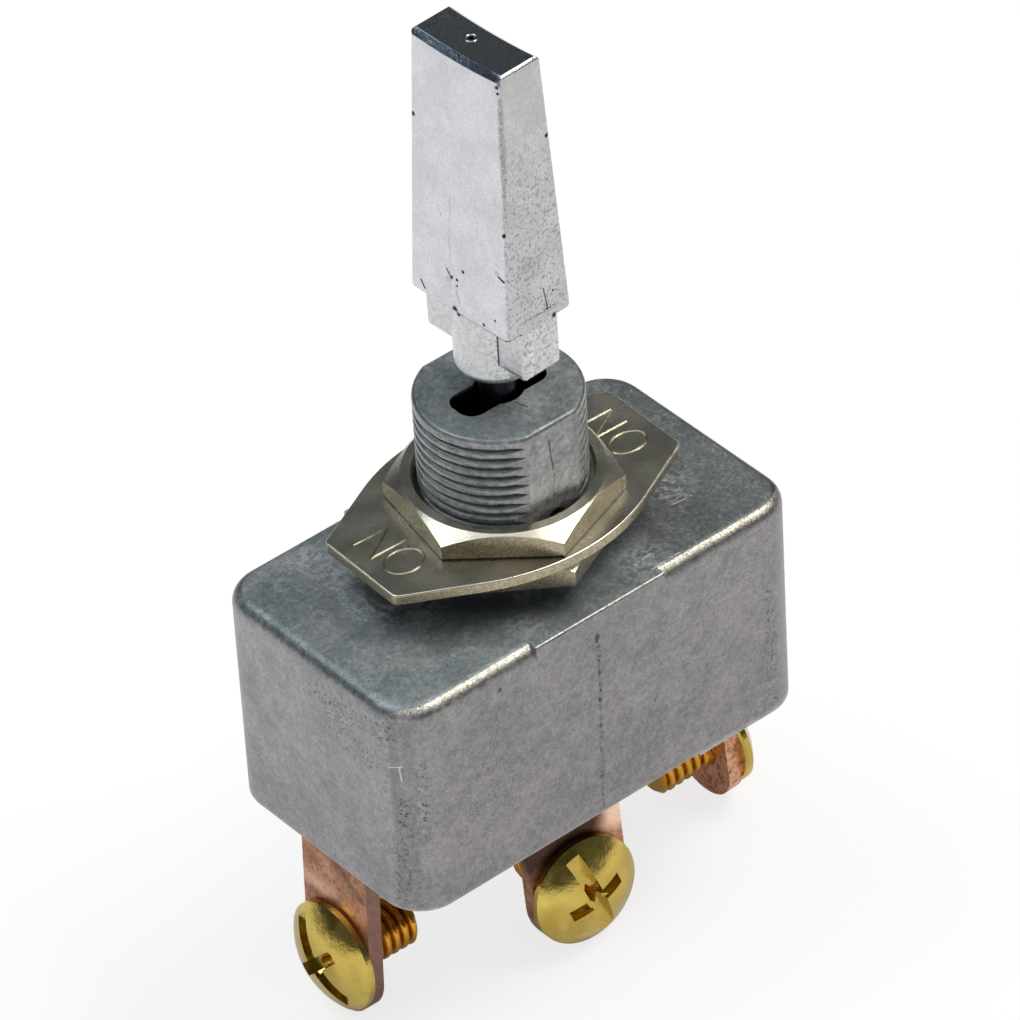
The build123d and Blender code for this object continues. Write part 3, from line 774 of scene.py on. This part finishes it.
def lever_look():
    """Bright as-cast lever: pale and finely specked, smoother on top, with small pits and painted shadow in
    its creases; lit and shaded tones on its faces, a painted reflection on top and painted shade at its
    neck.
    """
    look = Look("lever_casting")
    tone = lever_tones
    fine = look.noise(5.0, 4, 0.7)
    haze = look.noise(0.4, 4, 0.65)
    specks = look.noise(4.2, 1, 0.5)
    up = look.band(look.facing((0, 0, 1)), 0.45, 0.9)
    broad = look.band(look.math("ABSOLUTE", look.facing((0, -1, 0))), 0.5, 0.9)
    height = look.axis(2)
    stem = look.band(height, 21.3, 21.1)

    # Painted light and shade: the narrow X faces take a lit, paler copy of the tone and the broad Y faces a
    # shaded, darker copy.
    clouded = look.band(haze, 0.35, 0.65)
    pale = look.mix(clouded, tone["lit face dark"], tone["lit face light"])
    dull = look.mix(clouded, tone["shaded face dark"], tone["shaded face light"])
    base = look.mix(broad, pale, dull)
    stain = look.band(look.noise(2.4, 4, 0.7), 0.35, 0.65)
    stain = look.mix(stain, tone["stem dark"], tone["stem light"])
    base = look.mix(look.times(stem, 0.8), base, stain)
    streak = look.band(look.noise(2.2, 3, 0.6, stretch=(1, 1, 0.08)), 0.55, 0.68)
    base = look.mix(look.times(streak, stem, broad, 0.7), base, tone["streak"])
    base = look.dim(base, look.band(fine, 0.3, 0.7, 0.87, 1.08))
    dense = look.band(height, 40.0, 31.0, 0.15, 0.8)
    dots = look.times(look.band(specks, 0.52, 0.66), look.band(broad, 0, 1, 0.15, 1.0), dense)
    colour = look.mix(dots, base, tone["speck"])
    strip = look.lines(lever_strip)
    colour = look.mix(look.times(strip, look.band(fine, 0.35, 0.6), 0.7), colour, tone["strip"])

    # Painted shadow: near-black lines under the paddle's foot and round the collar, mixed with the real
    # pits.
    broken_shade_line = look.line((-1.9, -4.73, 21.26), (2.96, -4.48, 21.26), 0.09)
    mark = look.most([
        look.spots(lever_pits), look.lines(lever_marks_and_shade_lines),
        look.times(look.lines(lever_soft_shade_lines), 0.8),
        look.times(look.line((-2.97, 0.1, 21.27), (-2.75, -4.3, 21.27), 0.12), 0.85),
        look.times(broken_shade_line, look.band(fine, 0.35, 0.6)),
    ])
    colour = look.mix(mark, colour, tone["mark"])
    faint = look.most([look.spots(lever_faint_spots), look.lines(lever_faint_lines)])
    colour = look.mix(look.times(faint, 0.4), colour, tone["speck"])

    # Painted reflection: a bluish grey tone on the upward faces and a dark bluish band on the top's -X
    # bevel.
    left = look.facing((-1, 0, 0))
    bevel = look.times(look.band(left, 0.3, 0.5), look.band(left, 0.93, 0.8))
    colour = look.mix(up, colour, tone["top"])
    colour = look.mix(look.times(bevel, look.band(height, 41.5, 41.7), 0.85), colour, tone["bevel"])
    colour = look.mix(look.near((0.1, 0.66, 42.12), 0.26), colour, tone["pin mark"])
    # Painted shade: near black where the lever goes down into the bushing.
    neck_shade = look.band(height, 15.4, 14.9)
    colour = look.mix(look.times(neck_shade, 0.95), colour, tone["neck_shade"])
    rough = look.band(fine, 0.3, 0.7, 0.26, 0.38)
    look.set(colour=colour, metal=1.0, rough=look.math("SUBTRACT", rough, look.times(up, 0.16)))
    look.bump(look.noise(1.6, 4, 0.6), 0.02)
    look.bump(fine, 0.006)
    look.bump(look.times(mark, -1.0), 0.07)
    return look


def nickel_look():
    """Warm satin nickel plate with fine specks, browner on its cut edges, with a painted shadow under the
    nut, painted highlights in the letters and painted shade on one nut face.
    """
    look = Look("nickel_plate")
    tone = nickel_tones
    top = plate_top / MM
    cloud = look.noise(0.3, 4, 0.6)
    grain = look.noise(9.0, 3, 0.7)
    height = look.axis(2)
    rise = look.math("ABSOLUTE", look.facing((0, 0, 1)))
    edge = look.band(rise, 0.35, 0.1)
    flat = look.mix(look.band(cloud, 0.35, 0.65), tone["flat dark"], tone["flat light"])
    cut = look.mix(look.band(look.noise(5.0, 3, 0.7), 0.4, 0.65), tone["cut dark"], tone["cut light"])
    colour = look.mix(edge, flat, cut)
    # Painted shadow: a black line where the nut's sides meet the plate.
    nut_contact_shadow = look.times(edge, look.band(height, 4.14, 4.2), look.band(height, 4.38, 4.26))
    colour = look.mix(look.times(nut_contact_shadow, 0.95), colour, tone["contact shadow"])
    # Painted highlight: a cream tone on the sloping walls of the pressed letters.
    pressed = look.times(
        look.band(rise, 0.35, 0.5), look.band(rise, 0.97, 0.9),
        look.band(height, top - 0.12, top - 0.1), look.band(height, top + 0.01, top - 0.005),
    )
    lettered = look.spots([((-9.8, -0.1, top), 3.4), ((9.7, -0.1, top), 3.4)], 0.05)
    colour = look.mix(look.times(pressed, lettered, 0.6), colour, tone["letter highlight"])
    # Painted shade: the front nut's face towards -Y and a little +X is made darker.
    right_face = look.band(look.facing((0.43, -0.9, 0)), 0.93, 0.985)
    shaded_nut_face = look.times(edge, right_face, look.band(height, top, top + 0.06))
    colour = look.dim(colour, look.band(shaded_nut_face, 0, 1, 1.0, 0.45))
    dull = look.band(grain, 0.58, 0.72)
    colour = look.mix(look.times(dull, 0.45), colour, tone["speck"])
    look.set(colour=colour, metal=1.0, rough=look.band(cloud, 0.3, 0.7, 0.23, 0.28))
    look.bump(grain, 0.012)
    return look


def brass_look():
    """Plated brass, olive gold, with a redder threaded end on each screw."""
    look = Look("plated_brass")
    tone = brass_tones
    cloud = look.noise(0.5, 4, 0.6)
    grain = look.noise(6.0, 3, 0.6)
    colour = look.mix(look.band(cloud, 0.35, 0.68), tone["dark"], tone["light"])
    shanks = []
    for side in sides:
        place = screw_frame(side)
        ends = [place @ Vector((0, 0, -reach)) for reach in (screw_neck_distance, 2 * screw_tip_distance)]
        shanks.append(look.line(*[end / MM for end in ends], 2.6, soft=0.2))
    colour = look.mix(look.times(look.most(shanks), 0.85), colour, tone["shank"])
    colour = look.mix(look.band(grain, 0.64, 0.8), colour, tone["speck"])
    look.set(colour=colour, metal=1.0, rough=look.band(cloud, 0.3, 0.7, 0.15, 0.27))
    look.bump(look.noise(0.9, 3, 0.5), 0.05)
    look.bump(grain, 0.012)
    return look


def copper_look():
    """Copper strip, orange-brown and pinkish, stained dark in places, with painted shadow, painted
    highlights and painted light.
    """
    look = Look("copper_strip")
    tone = copper_tones
    cloud = look.noise(0.45, 5, 0.65)
    patches = look.noise(2.2, 5, 0.7)
    grain = look.noise(6.0, 3, 0.7)
    across = look.axis(0)
    colour = look.mix(look.band(cloud, 0.35, 0.65), tone["dark"], tone["light"])
    colour = look.mix(look.times(look.band(patches, 0.48, 0.68), 0.75), colour, tone["stain"])
    # Painted highlight: a pale pink patch on the centre tab and a light band on the left tab.
    painted_sheen = look.most([
        look.near((3.3, -6.3, -23.0), 2.2, 0.8),
        look.times(look.line((-17.1, 3.5, -22.6), (-17.1, 0.2, -22.6), 1.0, 0.6, 1.0), 0.4),
    ])
    colour = look.mix(painted_sheen, colour, tone["painted_sheen"])
    # Painted shadow beside the centre screw's head, and on the left tab under the housing's edge.
    painted_shadow = look.most([
        look.line((-4.6, -6.1, -23.2), (0.2, -6.0, -22.6), 2.4, 0.5, 0.6),
        look.times(look.line((-17.1, 0.0, -19.6), (-17.1, -3.0, -21.0), 1.2, 0.5, 1.0), 0.5),
    ])
    colour = look.mix(look.times(painted_shadow, 0.92), colour, tone["painted_shadow"])
    cut_edge = look.times(look.band(look.facing((0, -1, 0)), 0.7, 0.9), look.band(across, -12, -13))
    colour = look.mix(look.times(cut_edge, 0.85), colour, tone["cut edge"])
    # Painted light: the right tab is made a lighter pinkish orange.
    lit_right_tab = look.times(look.band(across, 12, 13), look.band(patches, 0.62, 0.4), 0.75)
    colour = look.mix(lit_right_tab, colour, tone["lit right tab"])
    colour = look.dim(colour, look.band(grain, 0.3, 0.7, 0.85, 1.12))
    look.set(colour=colour, metal=0.9, rough=look.band(patches, 0.3, 0.7, 0.28, 0.46))
    look.bump(patches, 0.015)
    return look


def plain_look(name, dark, light, metal, rough, scale):
    """Simple two-tone material for the pieces inside."""
    look = Look(name)
    cloud = look.noise(scale, 5, 0.6)
    look.set(colour=look.mix(look.band(cloud, 0.35, 0.65), dark, light), metal=metal)
    look.set(rough=look.band(cloud, 0.3, 0.7, *rough))
    look.bump(look.noise(scale * 4, 3, 0.6), 0.008)
    return look


# Name, place, size, power in watts and colour of each lamp
studio_lamps = [
    ("key", (0.37, -0.17, 0.64), (0.46, 0.3), 3.9, (1.0, 0.95, 0.86)),
    ("back", (-0.26, 0.36, 0.75), (0.5, 0.4), 2.7, (0.88, 0.95, 1.0)),
    ("fill", (-0.6, -0.4, 0.25), (0.6, 0.5), 1.7, (1.0, 1.0, 1.0)),
]


def floor_look():
    """Pale floor that the camera sees nearly white, with the object's shadow on it."""
    floor_grey = 0.86
    glow_seen = 0.75
    material = bpy.data.materials.new("pale_floor")
    material.use_nodes = True
    tree = material.node_tree
    matt = tree.nodes["Principled BSDF"]
    matt.inputs["Base Color"].default_value = (floor_grey, floor_grey, floor_grey, 1)
    matt.inputs["Roughness"].default_value = 0.9
    glow = tree.nodes.new("ShaderNodeEmission")
    glow.inputs["Strength"].default_value = 1.0
    path = tree.nodes.new("ShaderNodeLightPath")
    share = tree.nodes.new("ShaderNodeMath")
    share.operation = "MULTIPLY"
    share.inputs[1].default_value = glow_seen
    mix = tree.nodes.new("ShaderNodeMixShader")
    tree.links.new(path.outputs["Is Camera Ray"], share.inputs[0])
    tree.links.new(share.outputs[0], mix.inputs[0])
    tree.links.new(matt.outputs[0], mix.inputs[1])
    tree.links.new(glow.outputs[0], mix.inputs[2])
    tree.links.new(mix.outputs[0], tree.nodes["Material Output"].inputs[0])
    return material


def make_world():
    """Grey studio world that shows white to the camera and in reflections."""
    studio_grey = (0.42, 0.43, 0.44, 1)
    studio_white = (1, 1, 1, 1)
    world = bpy.data.worlds.new("studio")
    world.use_nodes = True
    bpy.context.scene.world = world
    tree = world.node_tree
    background = tree.nodes["Background"]
    background.inputs[0].default_value = studio_grey
    white = tree.nodes.new("ShaderNodeBackground")
    white.inputs[0].default_value = studio_white
    path = tree.nodes.new("ShaderNodeLightPath")
    seen = path.outputs["Is Camera Ray"]
    for name in ("Is Glossy Ray", "Is Transmission Ray"):
        either = tree.nodes.new("ShaderNodeMath")
        either.operation = "MAXIMUM"
        tree.links.new(seen, either.inputs[0])
        tree.links.new(path.outputs[name], either.inputs[1])
        seen = either.outputs[0]
    mix = tree.nodes.new("ShaderNodeMixShader")
    tree.links.new(seen, mix.inputs[0])
    tree.links.new(background.outputs[0], mix.inputs[1])
    tree.links.new(white.outputs[0], mix.inputs[2])
    tree.links.new(mix.outputs[0], tree.nodes["World Output"].inputs[0])


def make_stage():
    """Pale floor, soft lights and the camera at the photograph's angle."""
    floor_size = 6
    floor_gap = 0.05 * MM
    floor_level = min(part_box("terminal_" + side)[0].z for side in sides)
    bpy.ops.mesh.primitive_plane_add(size=floor_size, location=(0, 0, floor_level - floor_gap))
    floor = bpy.context.object
    floor.name = "floor"
    floor.data.materials.append(floor_look())
    make_world()
    make_flag()
    for name, place, size, power, colour in studio_lamps:
        lamp(name, place, size, power, colour)
    make_camera()


def make_flag():
    """Dark ring of studio flags round the set, seen only in reflections."""
    flag_radius = 0.62
    flag_height = 0.86
    flag_colour = (0.045, 0.05, 0.052, 1)
    mesh = bpy.data.meshes.new("dark_flags")
    body = bmesh.new()
    bmesh.ops.create_cone(
        body, segments=48, radius1=flag_radius, radius2=flag_radius, depth=flag_height, cap_ends=False
    )
    body.to_mesh(mesh)
    body.free()
    flag = link(mesh, "dark_flags")
    flag.location = (0, 0, flag_height / 2)
    material = bpy.data.materials.new("dark_cloth")
    material.use_nodes = True
    cloth = material.node_tree.nodes["Principled BSDF"]
    cloth.inputs["Base Color"].default_value = flag_colour
    cloth.inputs["Roughness"].default_value = 0.9
    flag.data.materials.append(material)
    flag.visible_camera = False
    flag.visible_diffuse = False
    flag.visible_shadow = False
    flag.visible_transmission = False


def lamp(name, place, size, power, colour):
    """Soft rectangular light that points at the switch."""
    data = bpy.data.lights.new(name, "AREA")
    data.shape = "RECTANGLE"
    data.size, data.size_y = size
    data.energy = power
    data.color = colour
    light = bpy.data.objects.new(name, data)
    light.location = place
    light.rotation_euler = (-Vector(place)).to_track_quat("-Z", "Y").to_euler()
    bpy.context.scene.collection.objects.link(light)


def make_camera():
    """Camera at the photograph's viewpoint."""
    azimuth, elevation, roll = (math.radians(v) for v in (-38.071, 39.195, -3.587))
    distance = 0.5403
    aim_right, aim_up = 0.279 * MM, 1.957 * MM
    focal_length, film_width = 276.55, 36
    nearest = 0.02
    back = Vector((
        math.sin(azimuth) * math.cos(elevation),
        -math.cos(azimuth) * math.cos(elevation),
        math.sin(elevation),
    ))
    right = Vector((math.cos(azimuth), math.sin(azimuth), 0))
    up = back.cross(right)
    data = bpy.data.cameras.new("camera")
    data.sensor_width = film_width
    data.lens = focal_length
    data.clip_start = nearest
    camera = bpy.data.objects.new("camera", data)
    place = aim_right * right + aim_up * up + back * distance
    across = right * math.cos(roll) + up * math.sin(roll)
    upright = up * math.cos(roll) - right * math.sin(roll)
    turn = Matrix((across, upright, back)).transposed()
    camera.matrix_world = Matrix.Translation(place) @ turn.to_4x4()
    bpy.context.scene.collection.objects.link(camera)
    bpy.context.scene.camera = camera
    bpy.context.scene.view_settings.view_transform = "Standard"


nodes = frame["nodes"]
housing = dress_housing()
lever = dress_lever()
spring = dress_spring()
plate = dress_plate()
screws = [dress_screw(side) for side in sides]
terminals = [nodes["terminal_" + side] for side in sides]

zinc_look().dress(housing)
lever_look().dress(lever)
nickel_look().dress(plate, nodes["front_nut"], nodes["back_nut"])
brass_look().dress(*screws)
copper_look().dress(*terminals, nodes["rocker"], nodes["rocker_cradle"])
steel = plain_look(
    "bright_steel", (0.42, 0.42, 0.43), (0.56, 0.56, 0.57), metal=1.0, rough=(0.22, 0.35), scale=0.8
)
steel.dress(nodes["lever_pivot_pin"], nodes["rocker_pivot_pin"], nodes["plunger"], spring)
silver = plain_look(
    "contact_silver", (0.66, 0.65, 0.62), (0.82, 0.81, 0.79), metal=1.0, rough=(0.25, 0.4), scale=0.9
)
silver.dress(
    nodes["fixed_contact_left"], nodes["fixed_contact_right"],
    nodes["rocker_contact_left"], nodes["rocker_contact_right"], nodes["cradle_rivet"],
)
board = plain_look(
    "phenolic_board", (0.10, 0.055, 0.035), (0.17, 0.10, 0.065), metal=0.0, rough=(0.45, 0.6), scale=0.6
)
board.dress(nodes["terminal_board"])
fibre = plain_look(
    "grey_fibre", (0.26, 0.27, 0.28), (0.36, 0.37, 0.38), metal=0.0, rough=(0.75, 0.9), scale=0.7
)
fibre.dress(nodes["insulating_liner"])

make_stage()
